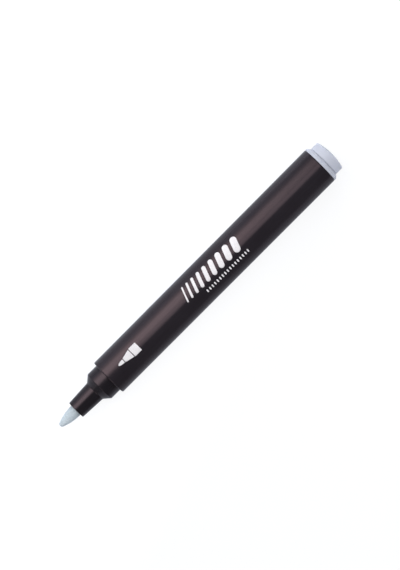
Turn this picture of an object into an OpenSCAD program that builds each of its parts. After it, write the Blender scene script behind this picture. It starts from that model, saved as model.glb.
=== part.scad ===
// Acrylic paint marker without its cap, as a valve-action marker is built: a barrel that is also
// the paint tank, a front section with a bullet nib, a felt feed and a spring valve behind the nib,
// a loose mixing ball, and a coloured end plug. The axis lies along X with the nib towards -X, and
// the widest part of the body rests on Z = 0. Sizes are in millimetres.

/* [Barrel] */
// Length of the barrel tube
barrel_len = 100.8; // [80:0.05:120]
// Outside diameter at the tail end
barrel_tail_d = 14.15; // [13.4:0.05:16]
// Outside diameter at the nib end, a little smaller because the tube is moulded with draft
barrel_nose_d = 13.8; // [13.4:0.05:16]
// Rounding of the outer rim at the nib end
barrel_nose_round = 0.4; // [0.1:0.05:0.6]
// Rounding of the outer rim at the tail end
barrel_tail_round = 0.3; // [0.05:0.05:0.5]

/* [Front section] */
// Diameter of the collar that the cap pushes on to
collar_d = 11.4; // [10.8:0.05:11.8]
// Length of the collar in front of the barrel
collar_len = 4.15; // [3:0.05:8]
// Length of the cone between nose and collar
cone_len = 2.25; // [1.5:0.05:4]
// Length of the tapered nose
nose_len = 9; // [6:0.05:14]
// Diameter of the nose where the cone starts
nose_base_d = 7.55; // [7:0.05:8.5]
// Diameter of the nose at its front rim
nose_rim_d = 6.65; // [6.2:0.05:7]
// Rounding of the nose's front rim
nose_rim_round = 0.15; // [0.05:0.05:0.5]
// Fillet where the nose meets the cone
cone_fillet = 0.6; // [0.1:0.05:1.5]
// Rounding of the edge between cone and collar
cone_edge_round = 0.3; // [0.05:0.05:0.6]
// Length of the spigot that goes into the barrel
spigot_len = 18.75; // [17:0.05:24]
// Width of the shoulder that seats on the barrel's front face
shoulder_w = 0.2; // [0.1:0.05:0.4]
// Wall of the spigot
spigot_wall = 1.2; // [1:0.05:1.5]
// Wall in front of the felt chamber, measured back from the cone
chamber_wall = 0.8; // [0.5:0.05:2]
// Diameter of the air grooves along the nose bore
vent_d = 0.6; // [0.3:0.05:0.9]
// Number of air grooves
vent_count = 3; // [2:1:6]

/* [Nib] */
// Diameter of the nib's shank
nib_d = 4.4; // [3.8:0.05:4.8]
// Length of nib that stands out of the nose
nib_out = 7.6; // [6:0.05:12]
// Radius of the rounded point
nib_tip_r = 1; // [0.5:0.05:1.4]
// Length of the bullet-shaped part
nib_bullet_len = 7.4; // [5:0.05:10]
// Chamfer on the nib's inner end
nib_chamfer = 0.3; // [0.1:0.05:0.6]
// How far the nib goes in when it is pressed
press_travel = 2; // [1:0.1:3]

/* [Feed and valve] */
// Length of the felt around the nib
felt_len = 9.6; // [8:0.1:11]
// Space left between the pressed nib and the valve
nib_end_room = 0.3; // [0.2:0.05:1]
// Front wall of the valve cup
cup_front_wall = 1.4; // [0.8:0.05:2]
// Side wall of the valve cup
cup_wall = 0.9; // [0.6:0.05:1.2]
// Width of the cup's flange outside its side wall
cup_flange_w = 0.9; // [0.4:0.05:1.1]
// Thickness of the cup's flange
cup_flange_len = 1; // [0.6:0.05:2]
// Diameter of the paint port through the cup
port_d = 3.2; // [2.8:0.05:3.6]
// Thickness of the valve gasket
gasket_len = 1; // [0.6:0.05:1.6]
// Diameter of the hole in the gasket
gasket_bore_d = 3.6; // [3.2:0.05:4.2]
// Diameter of the stem's pin, which the nib pushes
stem_pin_d = 2.2; // [1.6:0.05:2.6]
// Diameter of the stem's sealing head
stem_head_d = 5.4; // [4.8:0.05:5.8]
// Thickness of the stem's sealing head
stem_head_len = 1.25; // [0.8:0.05:2]
// Diameter of the stem's guide, inside the spring
stem_guide_d = 2.6; // [2:0.05:3]
// How deep the guide's end sits inside the spring retainer
stem_end_inset = 0.7; // [0.2:0.05:1]
// Diameter of the spring wire
wire_d = 0.5; // [0.3:0.05:0.6]
// Diameter of the spring at the middle of the wire
spring_d = 4; // [3.8:0.05:4.4]
// Number of turns in the spring
spring_turns = 6; // [4:0.5:6.5]
// How much closer the turns lie at the spring's ends, as a share of the mean pitch
spring_closing = 0.25; // [0:0.05:0.3]
// Thickness of the spring retainer
retainer_len = 1.4; // [1:0.05:2.5]
// Number of paint slots in the retainer
slot_count = 4; // [3:1:6]
// Width of a paint slot
slot_w = 1.3; // [0.8:0.05:1.6]
// Depth of a paint slot from the retainer's edge
slot_depth = 0.85; // [0.4:0.05:1]

/* [Mixing ball] */
// Diameter of the mixing ball
ball_d = 6; // [4:0.1:8]
// Space left between the ball and what it stops at or rolls on
ball_room = 0.15; // [0.1:0.05:0.5]

/* [End plug] */
// How far the flange stays inside the barrel's tail diameter
flange_inset = 0; // [0:0.05:0.4]
// Thickness of the flange
flange_len = 1.6; // [1.2:0.05:3]
// Rounding of the flange's edge next to the barrel
flange_front_round = 0.15; // [0.05:0.05:0.3]
// Chamfer on the flange's outer edge
flange_chamfer = 0.9; // [0.3:0.05:1]
// Rounding of the chamfer's outer corner
flange_round = 0.6; // [0.1:0.05:0.8]
// Diameter of the stub that the cap pushes on to when it is posted
stub_d = 11.9; // [11:0.05:12.2]
// Length of the stub, crown included
stub_len = 4.05; // [2.5:0.05:8]
// Height of the stub's crowned end
stub_crown = 0.85; // [0.2:0.05:1]
// Rounding of the stub's end
stub_round = 0.5; // [0.1:0.05:0.8]
// Width of the V-shaped relief groove at the stub's foot
relief_w = 0.3; // [0.2:0.05:0.8]
// Depth of the relief groove
relief_depth = 0.2; // [0.05:0.01:0.3]
// Length of the plug's spigot inside the barrel
plug_spigot_len = 6.5; // [5.5:0.1:12]
// Wall of the plug's spigot
plug_wall = 1.25; // [1:0.05:2]
// Wall at the plug's outer end
plug_end_wall = 1.4; // [0.8:0.05:2]

/* [Seals and fits] */
// Thickness of a seal ring, from the groove's floor to the bore
seal_t = 0.55; // [0.4:0.05:0.7]
// Width of a seal ring along the axis
seal_w = 1; // [0.8:0.05:1.4]
// Spare width of a seal groove
seal_play = 0.2; // [0.1:0.05:0.4]
// Distance from a spigot's inner end to its seal groove
seal_setback = 1.2; // [0.8:0.05:2]
// Height of the snap beads that hold the spigots in the barrel
bead_h = 0.15; // [0.05:0.01:0.25]
// Width of a snap bead
bead_w = 1.2; // [0.8:0.05:1.6]
// Distance from the barrel's end face to a snap bead
bead_setback = 0.8; // [0.5:0.05:2]
// Radial gap between pieces that are pressed together
press_gap = 0.02; // [0.01:0.005:0.04]
// Radial gap around pieces that slide
slide_gap = 0.05; // [0.03:0.01:0.1]
// Gap between faces that meet and part, at the nib's end and the valve's seat
seat_gap = 0.05; // [0.02:0.01:0.1]

/* [Hidden] */

// Stations along the axis, measured from the nib's point
rim_x = nib_out;
cone_x = rim_x + nose_len;
collar_x = cone_x + cone_len;
joint_x = collar_x + collar_len;
tail_x = joint_x + barrel_len;
stub_x = tail_x + flange_len;
end_x = stub_x + stub_len;
chamber_x = collar_x + chamber_wall;
cup_x = chamber_x + felt_len;
spigot_end_x = joint_x + spigot_len;
cup_end_x = spigot_end_x + cup_flange_len;
gasket_x = cup_x + cup_front_wall;
head_x = gasket_x + gasket_len + seat_gap;
guide_x = head_x + stem_head_len;
retainer_x = cup_end_x - retainer_len;
stem_end_x = cup_end_x - stem_end_inset;
nib_end_x = cup_x - press_travel - nib_end_room;
stem_x = nib_end_x + seat_gap;
plug_x = tail_x - plug_spigot_len;

// Radii that follow from the fits
spigot_r = collar_d / 2 - shoulder_w;
bore_r = spigot_r + press_gap;
chamber_r = spigot_r - spigot_wall;
guide_bore_r = nib_d / 2 + slide_gap;
cup_r = chamber_r - press_gap;
cup_bore_r = cup_r - cup_wall;
flange_r = barrel_tail_d / 2 - flange_inset;
plug_bore_r = spigot_r - plug_wall;

// The part's own frame: the middle of the length at X = 0, the axis above the ground line
axis_z = max(barrel_tail_d, barrel_nose_d) / 2;
tip_x = -end_x / 2;

// The ball lies on the bore, behind the furthest reach of the stem
ball_x = stem_end_x + press_travel + ball_room + ball_d / 2;
ball_run = plug_x - ball_room - ball_d / 2 - ball_x;
ball_drop = bore_r - ball_room - ball_d / 2;

// Finish of the curves
arc_steps = 6;
turn_fn = 96;
wire_sides = 8;
wire_rings_per_turn = 16;

body_colour = "#2c272d";
plug_colour = "#c7ccda";
nib_colour = "#c9d4dc";
felt_colour = "#d4dde2";
valve_colour = "#e4e4de";
seal_colour = "#35322f";
steel_colour = "#b9bcc0";

function unit(v) = v / norm(v);

// Points of the arc that replaces corner b of the outline a-b-c, tangent to both its sides
function corner_arc(a, b, c, r) =
    let (
        to_a = unit(a - b),
        to_c = unit(c - b),
        half = acos(to_a * to_c) / 2,
        centre = b + unit(to_a + to_c) * r / sin(half),
        start = b + to_a * r / tan(half) - centre,
        stop = b + to_c * r / tan(half) - centre,
        sweep = 180 - 2 * half
    )
    [for (i = [0 : arc_steps])
        let (t = sweep * i / arc_steps)
        centre + (start * sin(sweep - t) + stop * sin(t)) / sin(sweep)];

// Points of an arc about a centre, from one angle to another
function arc(centre, r, from, to) =
    [for (i = [0 : arc_steps])
        let (angle = from + (to - from) * i / arc_steps)
        centre + r * [cos(angle), sin(angle)]];

// An outline of [x, radius, rounding] corners as plain points, with the rounded corners as arcs
function outline(corners) =
    let (n = len(corners), at = [for (c = corners) [c[0], c[1]]])
    [for (i = [0 : n - 1])
        let (rounding = corners[i][2])
        each is_undef(rounding)
            ? [at[i]]
            : corner_arc(at[(i + n - 1) % n], at[i], at[(i + 1) % n], rounding)];

// A bead of a given height on a wall of radius r, starting at x; a groove has a negative height
function bead(x, r, h, w) = [[x, r], [x + w / 2, r + h], [x + w, r]];

// A seal groove in a spigot, starting at x
function seal_groove(x) =
    let (floor_r = spigot_r - seal_t, stop_x = x + seal_w + seal_play)
    [[x, spigot_r], [x, floor_r], [stop_x, floor_r], [stop_x, spigot_r]];

function reversed(points) = [for (i = [len(points) - 1 : -1 : 0]) points[i]];

// Places children, drawn along X from the nib's point, in the part's frame
module on_axis() {
    translate([tip_x, 0, axis_z]) children();
}

// A solid turned about the axis from [x, radius] points
module turned(points) {
    on_axis() rotate([0, 90, 0])
        rotate_extrude($fn = turn_fn) polygon([for (p = points) [p[1], p[0]]]);
}

module barrel() {
    section_bead_x = joint_x + bead_setback;
    plug_bead_x = tail_x - bead_setback - bead_w;
    corners = concat(
        [
            [joint_x, bore_r],
            [joint_x, barrel_nose_d / 2, barrel_nose_round],
            [tail_x, barrel_tail_d / 2, barrel_tail_round],
            [tail_x, bore_r],
        ],
        reversed(bead(plug_bead_x, bore_r, bead_h, bead_w)),
        reversed(bead(section_bead_x, bore_r, bead_h, bead_w))
    );
    color(body_colour) turned(outline(corners));
}

// Nose, cone, collar and spigot in one moulding, bored for the nib, the felt and the valve cup
module front_section() {
    seal_x = spigot_end_x - seal_setback - seal_w - seal_play;
    corners = concat(
        [
            [rim_x, guide_bore_r],
            [rim_x, nose_rim_d / 2, nose_rim_round],
            [cone_x, nose_base_d / 2, cone_fillet],
            [collar_x, collar_d / 2, cone_edge_round],
            [joint_x, collar_d / 2],
            [joint_x, spigot_r],
        ],
        bead(joint_x + bead_setback, spigot_r, bead_h, bead_w),
        seal_groove(seal_x),
        [
            [spigot_end_x, spigot_r],
            [spigot_end_x, chamber_r],
            [chamber_x, chamber_r],
            [chamber_x, guide_bore_r],
        ]
    );
    color(body_colour) difference() {
        turned(outline(corners));
        vents();
    }
}

// Air grooves along the nose bore, from the rim into the felt chamber
module vents() {
    overrun = 1;
    on_axis() for (i = [0 : vent_count - 1])
        rotate([360 * i / vent_count, 0, 0]) translate([rim_x - overrun, 0, guide_bore_r])
            rotate([0, 90, 0])
                cylinder(d = vent_d, h = chamber_x - rim_x + 2 * overrun, $fn = 32);
}

// A seal ring in the groove that starts at x, with its two edges rounded
module seal_ring(x) {
    outer_r = bore_r - press_gap / 2;
    inner_r = spigot_r - seal_t + press_gap / 2;
    edge_r = (outer_r - inner_r) / 2;
    mid_r = (outer_r + inner_r) / 2;
    start_x = x + seal_play / 2;
    color(seal_colour) turned(concat(
        arc([start_x + edge_r, mid_r], edge_r, 270, 90),
        arc([start_x + seal_w - edge_r, mid_r], edge_r, 90, -90)
    ));
}

module section_seal() {
    seal_ring(spigot_end_x - seal_setback - seal_w - seal_play);
}

module plug_seal() {
    seal_ring(plug_x + seal_setback);
}

// Bullet nib: a round point, a bullet-shaped flank tangent to it, and a plain shank
module nib() {
    shank_r = nib_d / 2;
    flank_r = (pow(nib_bullet_len, 2) - 2 * nib_bullet_len * nib_tip_r + pow(shank_r, 2))
        / (2 * (shank_r - nib_tip_r));
    tip_centre = [nib_tip_r, 0];
    flank_centre = [nib_bullet_len, shank_r - flank_r];
    tangent = atan2(tip_centre[1] - flank_centre[1], tip_centre[0] - flank_centre[0]);
    color(nib_colour) turned(concat(
        arc(tip_centre, nib_tip_r, 180, tangent),
        arc(flank_centre, flank_r, tangent, 90),
        [
            [nib_end_x - nib_chamfer, shank_r],
            [nib_end_x, shank_r - nib_chamfer],
            [nib_end_x, 0],
        ]
    ));
}

// Felt ring that steadies the nib and holds paint for it
module feed_felt() {
    color(felt_colour) turned([
        [chamber_x, guide_bore_r],
        [chamber_x, chamber_r - press_gap],
        [cup_x, chamber_r - press_gap],
        [cup_x, guide_bore_r],
    ]);
}

// Cup with the paint port in its front wall and a flange against the spigot's end
module valve_cup() {
    color(valve_colour) turned([
        [cup_x, port_d / 2],
        [cup_x, cup_r],
        [spigot_end_x, cup_r],
        [spigot_end_x, cup_r + cup_flange_w],
        [cup_end_x, cup_r + cup_flange_w],
        [cup_end_x, cup_bore_r],
        [gasket_x, cup_bore_r],
        [gasket_x, port_d / 2],
    ]);
}

module valve_gasket() {
    color(seal_colour) turned([
        [gasket_x, gasket_bore_d / 2],
        [gasket_x, cup_bore_r - press_gap],
        [gasket_x + gasket_len, cup_bore_r - press_gap],
        [gasket_x + gasket_len, gasket_bore_d / 2],
    ]);
}

// Pin towards the nib, sealing head on the gasket, and a guide that runs in the retainer
module valve_stem() {
    color(valve_colour) turned([
        [stem_x, 0],
        [stem_x, stem_pin_d / 2],
        [head_x, stem_pin_d / 2],
        [head_x, stem_head_d / 2],
        [guide_x, stem_head_d / 2],
        [guide_x, stem_guide_d / 2],
        [stem_end_x, stem_guide_d / 2],
        [stem_end_x, 0],
    ]);
}

// Centre line of the spring wire between the stem's head and the retainer
spring_start = guide_x + wire_d / 2 + seat_gap;
spring_stop = retainer_x - wire_d / 2 - seat_gap;
spring_rings = round(spring_turns * wire_rings_per_turn);
spring_line = [for (i = [0 : spring_rings])
    let (
        share = i / spring_rings,
        angle = 360 * spring_turns * share,
        run = share - spring_closing * sin(360 * share) / 360 * 180 / PI
    )
    [
        spring_start + (spring_stop - spring_start) * run,
        spring_d / 2 * cos(angle),
        spring_d / 2 * sin(angle),
    ]];

// Least gap between the spring's turns, over points at least half a turn apart
spring_gap = min([for (i = [0 : spring_rings])
    each [for (j = [i + wire_rings_per_turn / 2 : 1 : spring_rings])
        norm(spring_line[i] - spring_line[j]) - wire_d]]);
echo(spring_gap = spring_gap);

// One ring of the wire at point i of the spring's line, square to it
function wire_ring(i) =
    let (
        here = spring_line[i],
        along = unit(spring_line[min(i + 1, spring_rings)] - spring_line[max(i - 1, 0)]),
        outward = unit([0, here[1], here[2]]),
        across = unit(cross(along, outward)),
        level = cross(across, along)
    )
    [for (k = [0 : wire_sides - 1])
        let (angle = 360 * k / wire_sides)
        here + wire_d / 2 * (level * cos(angle) + across * sin(angle))];

module valve_spring() {
    points = [for (i = [0 : spring_rings]) each wire_ring(i)];
    last = spring_rings * wire_sides;
    sides = [for (i = [0 : spring_rings - 1], k = [0 : wire_sides - 1])
        let (
            a = i * wire_sides + k,
            b = i * wire_sides + (k + 1) % wire_sides,
            c = a + wire_sides,
            d = b + wire_sides
        )
        each [[a, b, c], [b, d, c]]];
    ends = [for (k = [1 : wire_sides - 2])
        each [[0, k + 1, k], [last, last + k, last + k + 1]]];
    color(steel_colour) on_axis() polyhedron(points, concat(sides, ends));
}

// Ring that holds the spring in the cup, guides the stem and lets paint through its slots
module spring_retainer() {
    edge_r = cup_bore_r - press_gap;
    overrun = 1;
    color(valve_colour) difference() {
        turned([
            [retainer_x, stem_guide_d / 2 + slide_gap],
            [retainer_x, edge_r],
            [cup_end_x, edge_r],
            [cup_end_x, stem_guide_d / 2 + slide_gap],
        ]);
        on_axis() for (i = [0 : slot_count - 1])
            rotate([360 * i / slot_count, 0, 0])
                translate([retainer_x - overrun, -slot_w / 2, edge_r - slot_depth])
                    cube([retainer_len + 2 * overrun, slot_w, slot_depth + overrun]);
    }
}

// Loose ball that stirs the paint, lying on the bore at the nib end of its run
module mixing_ball() {
    color(steel_colour) on_axis()
        translate([ball_x, 0, -ball_drop]) sphere(d = ball_d, $fn = turn_fn);
}

// Coloured plug: spigot in the barrel, flange on its end face, stub for the posted cap
module end_plug() {
    stub_r = stub_d / 2;
    crown_x = end_x - stub_crown;
    crown_r = (pow(stub_r, 2) + pow(stub_crown, 2)) / (2 * stub_crown);
    crown_angle = asin(stub_r / crown_r);
    crown = [for (i = [1 : arc_steps])
        let (angle = crown_angle * (1 - i / arc_steps))
        [end_x - crown_r * (1 - cos(angle)), crown_r * sin(angle)]];
    bead_x = tail_x - bead_setback - bead_w;
    corners = concat(
        [[plug_x, plug_bore_r], [plug_x, spigot_r]],
        seal_groove(plug_x + seal_setback),
        bead(bead_x, spigot_r, bead_h, bead_w),
        [
            [tail_x, spigot_r],
            [tail_x, flange_r, flange_front_round],
            [stub_x - flange_chamfer, flange_r, flange_round],
            [stub_x, flange_r - flange_chamfer],
            [stub_x, stub_r],
            [stub_x + relief_w / 2, stub_r - relief_depth],
            [stub_x + relief_w, stub_r],
            [crown_x, stub_r, stub_round],
        ],
        crown,
        [[end_x - plug_end_wall, 0], [end_x - plug_end_wall, plug_bore_r]]
    );
    color(plug_colour) turned(outline(corners));
}

barrel();
front_section();
section_seal();
nib();
feed_felt();
valve_cup();
valve_gasket();
valve_stem();
valve_spring();
spring_retainer();
mixing_ball();
end_plug();
plug_seal();
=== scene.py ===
import math

import bmesh
import bpy
from mathutils import Matrix, Vector


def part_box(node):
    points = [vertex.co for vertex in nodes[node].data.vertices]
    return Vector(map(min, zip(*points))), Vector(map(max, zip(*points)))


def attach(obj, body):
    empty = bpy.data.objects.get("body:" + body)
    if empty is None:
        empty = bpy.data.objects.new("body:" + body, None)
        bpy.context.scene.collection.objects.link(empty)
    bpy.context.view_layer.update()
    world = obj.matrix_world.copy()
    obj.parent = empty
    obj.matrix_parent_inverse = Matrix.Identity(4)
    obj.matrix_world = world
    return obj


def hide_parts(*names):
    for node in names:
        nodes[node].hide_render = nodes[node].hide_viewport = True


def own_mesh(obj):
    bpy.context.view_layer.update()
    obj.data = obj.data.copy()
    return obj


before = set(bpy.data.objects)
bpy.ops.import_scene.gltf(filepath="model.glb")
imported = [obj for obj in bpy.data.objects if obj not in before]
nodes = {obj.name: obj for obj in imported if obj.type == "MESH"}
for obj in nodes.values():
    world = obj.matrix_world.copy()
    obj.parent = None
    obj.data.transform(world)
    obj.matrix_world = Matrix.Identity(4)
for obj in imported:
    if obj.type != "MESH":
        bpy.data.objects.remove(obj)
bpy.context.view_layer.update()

MM = 0.001

# Stations and radii of the CAD model, in metres in the shared frame
TIP_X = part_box("nib")[0][0]
BARREL_LOW, BARREL_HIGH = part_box("barrel")
BARREL_FRONT = BARREL_LOW[0]
BARREL_REAR = BARREL_HIGH[0]
BARREL_NOSE_R = 6.9 * MM
BARREL_TAIL_R = (BARREL_HIGH[2] - BARREL_LOW[2]) / 2
AXIS_Z = (BARREL_HIGH[2] + BARREL_LOW[2]) / 2
FLANGE_REAR = BARREL_REAR + 1.6 * MM
CONE_X = BARREL_FRONT - 5.3 * MM


# Node materials


class Tree:
    """A material's node tree with a Principled shader at its end."""

    def __init__(self, name):
        self.mat = bpy.data.materials.new(name)
        self.mat.use_nodes = True
        self.nodes = self.mat.node_tree.nodes
        self.links = self.mat.node_tree.links
        self.nodes.clear()
        self.out = self.nodes.new("ShaderNodeOutputMaterial")
        self.bsdf = self.nodes.new("ShaderNodeBsdfPrincipled")
        self.link(self.bsdf.outputs["BSDF"], self.out.inputs["Surface"])
        self.coords = self.nodes.new("ShaderNodeTexCoord").outputs["Object"]

    def link(self, source, target):
        self.links.new(source, target)

    def set(self, **values):
        """Sets the shader's own sockets, with _ for each space in a name."""
        for key, value in values.items():
            self.bsdf.inputs[key.replace("_", " ")].default_value = value

    def place(self, axis):
        """The place along the X, Y or Z axis."""
        node = self.nodes.new("ShaderNodeSeparateXYZ")
        self.link(self.coords, node.inputs["Vector"])
        return node.outputs[axis]

    def stretched(self, scale):
        """Object coordinates scaled per axis, so noise gets a grain."""
        node = self.nodes.new("ShaderNodeMapping")
        node.inputs["Scale"].default_value = scale
        self.link(self.coords, node.inputs["Vector"])
        return node.outputs["Vector"]

    def noise(self, scale, detail=3.0, rough=0.55, vector=None):
        node = self.nodes.new("ShaderNodeTexNoise")
        node.inputs["Scale"].default_value = scale
        node.inputs["Detail"].default_value = detail
        node.inputs["Roughness"].default_value = rough
        self.link(vector or self.coords, node.inputs["Vector"])
        return node.outputs["Fac"]

    def span(self, value, low, high, start=0.3, stop=0.7):
        """Maps the range from start to stop, which by default suits noise, to low and high."""
        node = self.nodes.new("ShaderNodeMapRange")
        node.inputs["From Min"].default_value = start
        node.inputs["From Max"].default_value = stop
        node.inputs["To Min"].default_value = low
        node.inputs["To Max"].default_value = high
        self.link(value, node.inputs["Value"])
        return node.outputs["Result"]

    def maths(self, operation, a, b):
        """An operation on two values, each of them a socket or a number."""
        node = self.nodes.new("ShaderNodeMath")
        node.operation = operation
        for socket, value in zip(node.inputs, (a, b)):
            if isinstance(value, (int, float)):
                socket.default_value = value
            else:
                self.link(value, socket)
        return node.outputs["Value"]

    def blend(self, *parts):
        """The sum of (value, weight) parts."""
        total = None
        for value, weight in parts:
            part = self.maths("MULTIPLY", value, weight)
            total = part if total is None else self.maths("ADD", total, part)
        return total

    def ramp(self, value, *stops):
        """A colour ramp of (position, colour) stops."""
        node = self.nodes.new("ShaderNodeValToRGB")
        elements = node.color_ramp.elements
        while len(elements) < len(stops):
            elements.new(0.5)
        for element, (position, colour) in zip(elements, stops):
            element.position = position
            element.color = (*colour, 1.0)
        self.link(value, node.inputs["Fac"])
        return node.outputs["Color"]

    def scaled(self, colour, factor):
        """A colour times a factor."""
        node = self.nodes.new("ShaderNodeVectorMath")
        node.operation = "SCALE"
        self.link(colour, node.inputs[0])
        self.link(factor, node.inputs["Scale"])
        return node.outputs["Vector"]

    def colour(self, socket):
        self.link(socket, self.bsdf.inputs["Base Color"])

    def roughness(self, socket):
        self.link(socket, self.bsdf.inputs["Roughness"])

    def bump(self, height, strength, distance):
        node = self.nodes.new("ShaderNodeBump")
        node.inputs["Strength"].default_value = strength
        node.inputs["Distance"].default_value = distance
        self.link(height, node.inputs["Height"])
        self.link(node.outputs["Normal"], self.bsdf.inputs["Normal"])


# Painted shade in the plug's groove and over the flange's top: the share of light it takes, where it
# starts and is full along the axis, in front of its middle and behind it, and the heights above the axis
# where it starts and is full
PAINTED_SHADE_SHARE = 0.18
PAINTED_SHADE_FRONT_START = -1.4 * MM
PAINTED_SHADE_FRONT_FULL = -0.3 * MM
PAINTED_SHADE_REAR_FULL = 0.1 * MM
PAINTED_SHADE_REAR_STOP = 0.7 * MM
PAINTED_SHADE_LOW = 3.0 * MM
PAINTED_SHADE_HIGH = 5.9 * MM

# Where the painted shade on the nib, darker towards the nose's mouth, starts and is full
MOUTH_SHADE_START = TIP_X + 3.0 * MM
MOUTH_SHADE_FULL = TIP_X + 7.5 * MM


def moulded_dark(name, dark, light, gloss, ior, tint):
    """Dark satin plastic with a tinted gloss, fine moulding grain and faint flow lines."""
    t = Tree(name)
    broad = t.noise(scale=90, detail=2)
    flow = t.noise(scale=1, detail=4, vector=t.stretched((120, 1400, 1400)))
    grain = t.noise(scale=7000, detail=2)
    t.colour(t.ramp(t.blend((broad, 0.6), (flow, 0.4)), (0.35, dark), (0.65, light)))
    t.roughness(t.span(t.blend((flow, 0.4), (grain, 0.6)), gloss - 0.015, gloss + 0.02))
    t.bump(t.blend((flow, 0.1), (grain, 1.0)), strength=0.2, distance=0.004 * MM)
    t.set(IOR=ior, Specular_Tint=(*tint, 1.0))
    return t.mat


def moulded_pale(name, dark, light, painted_shade_at=None):
    """Pale satin plastic with a fine moulding grain. A painted shade may darken its top, around a place
    along the axis."""
    t = Tree(name)
    broad = t.noise(scale=140, detail=2)
    grain = t.noise(scale=5200, detail=2)
    colour = t.ramp(broad, (0.3, dark), (0.7, light))
    if painted_shade_at is not None:
        # Painted shade, darkest on top, in the groove and over the rear of the flange
        along = t.place("X")
        front = t.span(along, 0.0, 1.0, painted_shade_at + PAINTED_SHADE_FRONT_START, painted_shade_at + PAINTED_SHADE_FRONT_FULL)
        rear = t.span(along, 1.0, 0.0, painted_shade_at + PAINTED_SHADE_REAR_FULL, painted_shade_at + PAINTED_SHADE_REAR_STOP)
        top_share = t.span(t.place("Z"), 0.0, PAINTED_SHADE_SHARE, AXIS_Z + PAINTED_SHADE_LOW, AXIS_Z + PAINTED_SHADE_HIGH)
        painted_shade = t.maths("MULTIPLY", t.maths("MINIMUM", front, rear), top_share)
        colour = t.scaled(colour, t.maths("SUBTRACT", 1.0, painted_shade))
    t.colour(colour)
    t.roughness(t.span(grain, 0.37, 0.49))
    t.bump(grain, strength=0.3, distance=0.006 * MM)
    t.set(IOR=1.46)
    t.set(Subsurface_Weight=0.3, Subsurface_Scale=1.2 * MM, Subsurface_Radius=(1.0, 1.0, 1.1))
    return t.mat


def bonded_fibre(name, dark, mid, light, shade=None):
    """Pressed fibre with long strands along the axis. The shade is the tone of a painted shade that
    darkens the fibre towards the nose's mouth."""
    t = Tree(name)
    strands = t.noise(scale=1, detail=5, rough=0.6, vector=t.stretched((500, 5200, 5200)))
    fleck = t.noise(scale=3800, detail=3)
    mottle = t.noise(scale=1500, detail=2)
    tone = t.blend((strands, 0.4), (fleck, 0.15), (mottle, 0.45))
    colour = t.ramp(tone, (0.38, dark), (0.5, mid), (0.62, light))
    if shade is not None:
        # Painted shade, darker towards the nose's mouth
        colour = t.scaled(colour, t.span(t.place("X"), 1.0, shade, MOUTH_SHADE_START, MOUTH_SHADE_FULL))
    t.colour(colour)
    t.roughness(t.span(fleck, 0.75, 0.95))
    t.bump(tone, strength=0.55, distance=0.03 * MM)
    t.set(IOR=1.4)
    t.set(Subsurface_Weight=0.2, Subsurface_Scale=0.8 * MM, Subsurface_Radius=(1.0, 1.0, 1.0))
    return t.mat


def moulded_rubber(name, dark, light):
    """Dark rubber with a dull moulded skin."""
    t = Tree(name)
    grain = t.noise(scale=4200, detail=3)
    broad = t.noise(scale=300)
    t.colour(t.ramp(broad, (0.3, dark), (0.7, light)))
    t.roughness(t.span(grain, 0.55, 0.72))
    t.bump(grain, strength=0.3, distance=0.008 * MM)
    t.set(IOR=1.5)
    return t.mat


def bare_steel(name, dark, light, grain_scale, low, high):
    """Steel with drawing or polishing marks in its gloss, whose roughness runs from low to high."""
    t = Tree(name)
    marks = t.noise(scale=1, detail=4, vector=t.stretched(grain_scale))
    t.colour(t.ramp(marks, (0.3, dark), (0.7, light)))
    t.roughness(t.span(marks, low, high))
    t.bump(marks, strength=0.12, distance=0.003 * MM)
    t.set(Metallic=1.0)
    return t.mat


def printed_ink(name, dark, light):
    """Pad-printed ink, a little uneven where it took on the satin plastic."""
    t = Tree(name)
    mottle = t.noise(scale=2600, detail=4, rough=0.65)
    t.colour(t.ramp(mottle, (0.25, dark), (0.6, light)))
    t.roughness(t.span(mottle, 0.42, 0.58))
    t.bump(mottle, strength=0.2, distance=0.006 * MM)
    t.set(IOR=1.36)
    return t.mat


STEEL_DARK = (0.52, 0.53, 0.55)
STEEL_LIGHT = (0.66, 0.67, 0.69)

body_mat = moulded_dark("barrel_satin", (0.0105, 0.0100, 0.0138), (0.0145, 0.0138, 0.0182),
                        gloss=0.2, ior=1.42, tint=(1.0, 0.72, 0.77))
section_mat = moulded_dark("section_satin", (0.0066, 0.0068, 0.0094), (0.0097, 0.0100, 0.0130),
                           gloss=0.2, ior=1.385, tint=(1.0, 0.75, 0.82))
# The plug carries a painted shade around the rear of its flange
plug_mat = moulded_pale("plug_satin", (0.505, 0.528, 0.610), (0.535, 0.558, 0.640), painted_shade_at=FLANGE_REAR)
nib_mat = bonded_fibre("nib_fibre", (0.536, 0.616, 0.674), (0.635, 0.722, 0.786), (0.726, 0.820, 0.886),
                       shade=0.88)
felt_mat = bonded_fibre("feed_fibre", (0.55, 0.62, 0.66), (0.65, 0.71, 0.75), (0.72, 0.78, 0.81))
valve_mat = moulded_pale("valve_natural", (0.74, 0.74, 0.71), (0.79, 0.79, 0.76))
rubber_mat = moulded_rubber("seal_rubber", (0.030, 0.028, 0.025), (0.042, 0.040, 0.036))
wire_mat = bare_steel("spring_wire", STEEL_DARK, STEEL_LIGHT, (900, 2600, 2600), low=0.24, high=0.36)
ball_mat = bare_steel("ball_polish", STEEL_DARK, STEEL_LIGHT, (700, 700, 700), low=0.08, high=0.16)
ink_mat = printed_ink("print_white", (0.755, 0.738, 0.760), (0.868, 0.848, 0.876))

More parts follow.
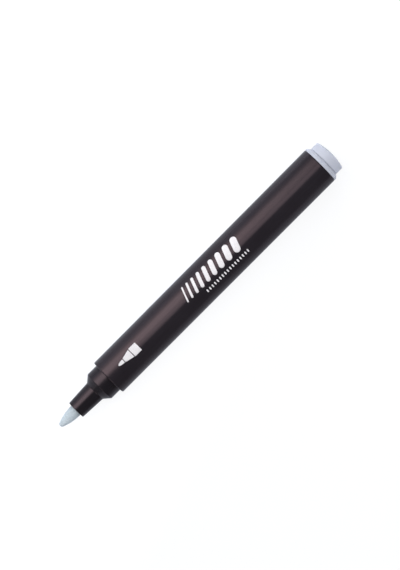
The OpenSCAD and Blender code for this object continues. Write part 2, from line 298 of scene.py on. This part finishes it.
FINISHES = {
    "barrel": body_mat,
    "front_section": section_mat,
    "section_seal": rubber_mat,
    "nib": nib_mat,
    "feed_felt": felt_mat,
    "valve_cup": valve_mat,
    "valve_gasket": rubber_mat,
    "valve_stem": valve_mat,
    "spring_retainer": valve_mat,
    "mixing_ball": ball_mat,
    "end_plug": plug_mat,
    "plug_seal": rubber_mat,
    "valve_spring": wire_mat,
}
for node_name, finish in FINISHES.items():
    node_mesh = nodes[node_name].data
    node_mesh.materials.clear()
    node_mesh.materials.append(finish)


# Pieces made here


def add_object(name, bm, mat, body):
    """Turns a closed mesh into a smooth piece that rides on a body."""
    mesh = bpy.data.meshes.new(name)
    bmesh.ops.recalc_face_normals(bm, faces=bm.faces)
    bm.to_mesh(mesh)
    bm.free()
    for polygon in mesh.polygons:
        polygon.use_smooth = True
    mesh.materials.append(mat)
    obj = bpy.data.objects.new(name, mesh)
    bpy.context.scene.collection.objects.link(obj)
    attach(obj, body)
    return obj


# Spring: the CAD coil's own line, with a rounder wire

SPRING_R = 2.0 * MM
WIRE_R = 0.25 * MM
WIRE_SIDES = 14
SPRING_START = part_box("valve_spring")[0][0] + WIRE_R
SPRING_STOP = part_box("valve_spring")[1][0] - WIRE_R
SPRING_TURNS = 6
SPRING_CLOSING = 0.25
RINGS_PER_TURN = 40


def spring_point(share):
    """A point on the wire's middle line. The turns lie closer together at both ends."""
    angle = 2 * math.pi * SPRING_TURNS * share
    run = share - SPRING_CLOSING * math.sin(2 * math.pi * share) / (2 * math.pi)
    return Vector((
        SPRING_START + (SPRING_STOP - SPRING_START) * run,
        SPRING_R * math.cos(angle),
        AXIS_Z + SPRING_R * math.sin(angle),
    ))


def make_spring():
    rings = SPRING_TURNS * RINGS_PER_TURN
    bm = bmesh.new()
    loops = []
    for i in range(rings + 1):
        here = spring_point(i / rings)
        ahead = spring_point(min(i + 1, rings) / rings)
        behind = spring_point(max(i - 1, 0) / rings)
        along = (ahead - behind).normalized()
        outward = Vector((0, here.y, here.z - AXIS_Z)).normalized()
        across = along.cross(outward).normalized()
        level = across.cross(along)
        loop = []
        for k in range(WIRE_SIDES):
            angle = 2 * math.pi * k / WIRE_SIDES
            side = level * math.cos(angle) + across * math.sin(angle)
            loop.append(bm.verts.new(here + side * WIRE_R))
        loops.append(loop)
    for a, b in zip(loops, loops[1:]):
        for k in range(WIRE_SIDES):
            j = (k + 1) % WIRE_SIDES
            bm.faces.new((a[k], a[j], b[j], b[k]))
    bm.faces.new(loops[0][::-1])
    bm.faces.new(loops[-1])
    return add_object("spring_coil", bm, wire_mat, "body")


spring = make_spring()
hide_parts("valve_spring")
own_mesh(spring)


# Print on the barrel: plain marks, wrapped on the drafted tube as a thin layer of ink

INK = 0.012 * MM
INK_SUNK = 0.02 * MM

# Gauge: slanted strokes that grow in width along the barrel, over a row of ticks
STROKES = 9
STROKE_START = TIP_X + 60.7 * MM
STROKE_ARC = 1.5 * MM
STROKE_LEN = 5.8 * MM
STROKE_THIN = 0.55 * MM
STROKE_GROWTH = 0.24 * MM
STROKE_GAP = 1.45 * MM
STROKE_LEAN = 20
TICKS = 17
TICK_START = TIP_X + 67.3 * MM
TICK_STEP = 1.19 * MM
TICK_ARC = -3.2 * MM
TICK_LEN = 1.2 * MM
TICK_W = 0.5 * MM

# Nib sign: a round point, a cone and a block, with bare lines between
SIGN_START = TIP_X + 28.5 * MM
SIGN_ARC = 0.34 * MM
SIGN_LINE = 0.28 * MM
POINT_LEN = 2.3 * MM
POINT_W = 1.35 * MM
POINT_MIDDLE = 1.4 * MM
CONE_LEN = 3.6 * MM
CONE_FRONT_W = 1.6 * MM
CONE_REAR_W = 3.2 * MM
BLOCK_LEN = 3.4 * MM
BLOCK_W = 3.5 * MM


def barrel_radius(x):
    share = (x - BARREL_FRONT) / (BARREL_REAR - BARREL_FRONT)
    return BARREL_NOSE_R + (BARREL_TAIL_R - BARREL_NOSE_R) * share


def on_barrel(x, arc, lift):
    """A point at x, at an arc length from the top line towards +Y, lifted off the tube."""
    r = barrel_radius(x)
    angle = arc / r
    return Vector((x, (r + lift) * math.sin(angle), AXIS_Z + (r + lift) * math.cos(angle)))


def ink_mark(bm, centre, outline, rings=6):
    """One closed mark: rings of points from its centre out to its outline, a rim down into the
    tube's wall, and a bottom there."""
    cx, ca = centre
    middle = bm.verts.new(on_barrel(cx, ca, INK))
    bottom = bm.verts.new(on_barrel(cx, ca, -INK_SUNK))
    loops = []
    for ring in range(1, rings + 1):
        share = ring / rings
        loops.append([bm.verts.new(on_barrel(cx + (x - cx) * share, ca + (a - ca) * share, INK))
                      for x, a in outline])
    loops.append([bm.verts.new(on_barrel(x, a, -INK_SUNK)) for x, a in outline])
    n = len(outline)
    for k in range(n):
        j = (k + 1) % n
        bm.faces.new((middle, loops[0][k], loops[0][j]))
        bm.faces.new((bottom, loops[-1][j], loops[-1][k]))
    for a, b in zip(loops, loops[1:]):
        for k in range(n):
            j = (k + 1) % n
            bm.faces.new((a[k], b[k], b[j], a[j]))


def bar(centre, length, width, lean=0.0, end_steps=10, side_steps=12):
    """A bar across the barrel with round ends, leaning towards the tail by an angle in degrees."""
    cx, ca = centre
    r = width / 2
    half = length / 2 - r
    tilt = math.radians(lean)
    flat = []
    for sign in (1, -1):
        for k in range(end_steps + 1):
            angle = math.pi * k / end_steps
            flat.append((sign * r * math.cos(angle), sign * (half + r * math.sin(angle))))
        for k in range(1, side_steps):
            flat.append((-sign * r, sign * half * (1 - 2 * k / side_steps)))
    return [(cx + u * math.cos(tilt) + v * math.sin(tilt),
             ca - u * math.sin(tilt) + v * math.cos(tilt)) for u, v in flat]


def bullet(start, arc, length, width, steps=16):
    """A round-nosed point towards the nib, half an ellipse with its flat end at the back."""
    half = width / 2
    turns = [math.pi / 2 * k / steps for k in range(steps + 1)]
    low = [(start + length * (1 - math.cos(turn)), arc - half * math.sin(turn)) for turn in turns]
    back = [(start + length, arc - half * (1 - 2 * k / steps)) for k in range(1, steps)]
    high = [(x, 2 * arc - a) for x, a in low[:0:-1]]
    return low + back + high


def tapered(start, stop, arc, front_width, rear_width, side_steps=12):
    """A straight-sided block along the barrel, from one width to another."""
    front = front_width / 2
    rear = rear_width / 2
    corners = [(start, arc + front), (start, arc - front), (stop, arc - rear), (stop, arc + rear)]
    points = []
    for (x0, a0), (x1, a1) in zip(corners, corners[1:] + corners[:1]):
        for k in range(side_steps):
            share = k / side_steps
            points.append((x0 + (x1 - x0) * share, a0 + (a1 - a0) * share))
    return points


def tapered_mark(bm, start, stop, front_width, rear_width):
    """A straight-sided block of ink on the sign's middle line."""
    outline = tapered(start, stop, SIGN_ARC, front_width, rear_width)
    ink_mark(bm, ((start + stop) / 2, SIGN_ARC), outline)


def make_gauge_mark():
    bm = bmesh.new()
    x = STROKE_START
    for i in range(STROKES):
        width = STROKE_THIN + STROKE_GROWTH * i
        centre = (x + width / 2, STROKE_ARC)
        ink_mark(bm, centre, bar(centre, STROKE_LEN, width, lean=STROKE_LEAN))
        x += width + STROKE_GAP
    for i in range(TICKS):
        centre = (TICK_START + TICK_STEP * i, TICK_ARC)
        ink_mark(bm, centre, bar(centre, TICK_LEN, TICK_W, end_steps=6), rings=3)
    add_object("print_gauge", bm, ink_mat, "body")


def make_nib_mark():
    bm = bmesh.new()
    point_end = SIGN_START + POINT_LEN
    cone_end = point_end + CONE_LEN
    block_end = cone_end + BLOCK_LEN
    ink_mark(bm, (SIGN_START + POINT_MIDDLE, SIGN_ARC), bullet(SIGN_START, SIGN_ARC, POINT_LEN, POINT_W))
    tapered_mark(bm, point_end + SIGN_LINE, cone_end, CONE_FRONT_W, CONE_REAR_W)
    tapered_mark(bm, cone_end + SIGN_LINE, block_end, BLOCK_W, BLOCK_W)
    add_object("print_nib", bm, ink_mat, "body")


make_gauge_mark()
make_nib_mark()


# Floor, light and camera

# The floor's colour is a painted pool of light: a little lighter on the side of the nib and the key
FLOOR_LIGHT_SIDE = (-0.336, 0.942, 0.0)
FLOOR_PAINTED_DARK = (0.458, 0.488, 0.548)
FLOOR_PAINTED_LIGHT = (0.827, 0.881, 0.989)
FLOOR_FADE_START = -27 * MM
FLOOR_FADE_STOP = 24 * MM
FLOOR_DROP = 0.05 * MM
FLOOR_HALF = 6.0

# The floor's own white, and the shares of it that are seen and reflected
FLOOR_WHITE = 1.25
WHITE_SEEN = 0.7
WHITE_REFLECTED = 0.1


def floor_material():
    """A pale matt floor that the camera sees as nearly white, with the shadow on it and a painted pool
    of light in its colour.
    """
    t = Tree("floor_white")
    across = t.nodes.new("ShaderNodeVectorMath")
    across.operation = "DOT_PRODUCT"
    across.inputs[1].default_value = FLOOR_LIGHT_SIDE
    t.link(t.coords, across.inputs[0])
    # Painted light: the floor's colour fades lighter towards the key side
    fade = t.span(across.outputs["Value"], 0.0, 1.0, FLOOR_FADE_START, FLOOR_FADE_STOP)
    t.colour(t.ramp(fade, (0.0, FLOOR_PAINTED_DARK), (1.0, FLOOR_PAINTED_LIGHT)))
    t.set(Roughness=1.0, Specular_IOR_Level=0.0)
    white = t.nodes.new("ShaderNodeEmission")
    white.inputs["Strength"].default_value = FLOOR_WHITE
    path = t.nodes.new("ShaderNodeLightPath").outputs
    share = t.blend((path["Is Camera Ray"], WHITE_SEEN), (path["Is Glossy Ray"], WHITE_REFLECTED),
                    (path["Is Transmission Ray"], WHITE_REFLECTED))
    mixed = t.nodes.new("ShaderNodeMixShader")
    t.link(share, mixed.inputs["Fac"])
    t.link(t.bsdf.outputs["BSDF"], mixed.inputs[1])
    t.link(white.outputs["Emission"], mixed.inputs[2])
    t.link(mixed.outputs["Shader"], t.out.inputs["Surface"])
    return t.mat


def make_floor():
    bm = bmesh.new()
    bmesh.ops.create_grid(bm, x_segments=1, y_segments=1, size=FLOOR_HALF)
    mesh = bpy.data.meshes.new("floor")
    bm.to_mesh(mesh)
    bm.free()
    mesh.materials.append(floor_material())
    obj = bpy.data.objects.new("floor", mesh)
    obj.location.z = -FLOOR_DROP
    bpy.context.scene.collection.objects.link(obj)


make_floor()

TARGET = Vector((0.0, 0.0, AXIS_Z))
PLUG = Vector((BARREL_REAR, 0.0, AXIS_Z))
CONE = Vector((CONE_X, 0.0, AXIS_Z))

# Ends and distances of the lamps, in metres
KEY_ENDS = (-0.60, 0.115)
STRIP_ENDS = (-0.037, 0.072)
SIDE_ENDS = (-0.60, 0.09)
FILL_ENDS = (-0.40, 0.40)
LOW_ENDS = (-0.14, 0.14)
PLUG_ENDS = (-0.06, 0.06)
FAR = 1.4
NEAR = 0.22
STRIP_NEAR = 0.12

WHITE = (1.0, 1.0, 1.0)
COOL_STRIP = (0.96, 0.97, 1.0)
COOL_SIDE = (0.76, 0.86, 1.0)
COOL_LOW = (0.92, 0.96, 1.0)


def softbox(name, azimuth, angles, ends, distance, radiance, colour=WHITE, target=TARGET,
            gloss=True, diffuse=True):
    """An area lamp between two angles from the vertical, in degrees, seen from its target. The
    azimuth turns it from +Y towards +X, and its ends lie sideways. A lamp without gloss shows in
    no reflection, and one without diffuse shows in reflections only."""
    low, high = angles
    left, right = ends
    turn = math.radians(azimuth)
    mid = math.radians((low + high) / 2)
    half = math.radians((high - low) / 2)
    out = Vector((math.sin(turn), math.cos(turn), 0.0))
    side = Vector((math.cos(turn), -math.sin(turn), 0.0))
    back = out * math.sin(mid) + Vector((0.0, 0.0, math.cos(mid)))
    up = back.cross(side)
    place = target + back * distance + side * (left + right) / 2
    data = bpy.data.lights.new(name, "AREA")
    data.shape = "RECTANGLE"
    data.size = right - left
    data.size_y = 2 * distance * math.tan(half)
    data.color = colour
    data.energy = radiance * math.pi * data.size * data.size_y
    obj = bpy.data.objects.new(name, data)
    obj.matrix_world = Matrix((
        (side.x, up.x, back.x, place.x),
        (side.y, up.y, back.y, place.y),
        (side.z, up.z, back.z, place.z),
        (0.0, 0.0, 0.0, 1.0),
    ))
    obj.visible_camera = False
    obj.visible_glossy = gloss
    obj.visible_diffuse = diffuse
    bpy.context.scene.collection.objects.link(obj)


# The key is three boxes, one inside the other, for a soft edge
softbox("key_wide", 0, (4, 72), KEY_ENDS, FAR + 0.04, radiance=1.0)
softbox("key_mid", 0, (11, 61), KEY_ENDS, FAR + 0.02, radiance=1.5)
softbox("key_core", 0, (18, 50), KEY_ENDS, FAR, radiance=1.5)

# A strip close above draws the top highlight, and the others light the sides and both ends
softbox("top_strip", 0, (-7, 11), STRIP_ENDS, STRIP_NEAR, radiance=1.9, colour=COOL_STRIP)
softbox("side", 0, (66, 90), SIDE_ENDS, FAR, radiance=0.97, colour=COOL_SIDE, diffuse=False)
softbox("front_fill", -118, (35, 65), FILL_ENDS, FAR, radiance=1.6)
softbox("front_low", -48, (66, 88), LOW_ENDS, NEAR, radiance=0.8, colour=COOL_LOW, target=CONE,
        diffuse=False)
softbox("rear_fill", 118, (35, 65), FILL_ENDS, FAR, radiance=0.6)
softbox("rear_left", 35, (68, 86), PLUG_ENDS, NEAR, radiance=9.3, target=PLUG, gloss=False)
softbox("rear_right", 145, (68, 86), PLUG_ENDS, NEAR, radiance=6.5, target=PLUG, gloss=False)

WORLD_STRENGTH = 0.26
world = bpy.data.worlds.new("studio")
bpy.context.scene.world = world
world.use_nodes = True
sky = world.node_tree.nodes["Background"]
sky.inputs["Color"].default_value = (*WHITE, 1.0)
sky.inputs["Strength"].default_value = WORLD_STRENGTH

# The camera looks straight down; one photo pixel is 0.3365 mm at the height of the axis
IMAGE_HEIGHT = 570
PIXEL = 0.3365 * MM
DISTANCE = 1.0
AIM = TARGET + Vector((2.095, 0.14, 0.0)) * MM
EYE = AIM + Vector((0.0, 0.0, DISTANCE))
RIGHT = Vector((0.7058, -0.7084, 0.0)).normalized()
UP = Vector((0.7084, 0.7058, 0.0)).normalized()
camera_data = bpy.data.cameras.new("camera")
camera_data.lens = camera_data.sensor_width * DISTANCE / (IMAGE_HEIGHT * PIXEL)
camera = bpy.data.objects.new("camera", camera_data)
camera.matrix_world = Matrix((
    (RIGHT.x, UP.x, 0.0, EYE.x),
    (RIGHT.y, UP.y, 0.0, EYE.y),
    (RIGHT.z, UP.z, 1.0, EYE.z),
    (0.0, 0.0, 0.0, 1.0),
))
bpy.context.scene.collection.objects.link(camera)
bpy.context.scene.camera = camera
bpy.context.scene.view_settings.view_transform = "Standard"
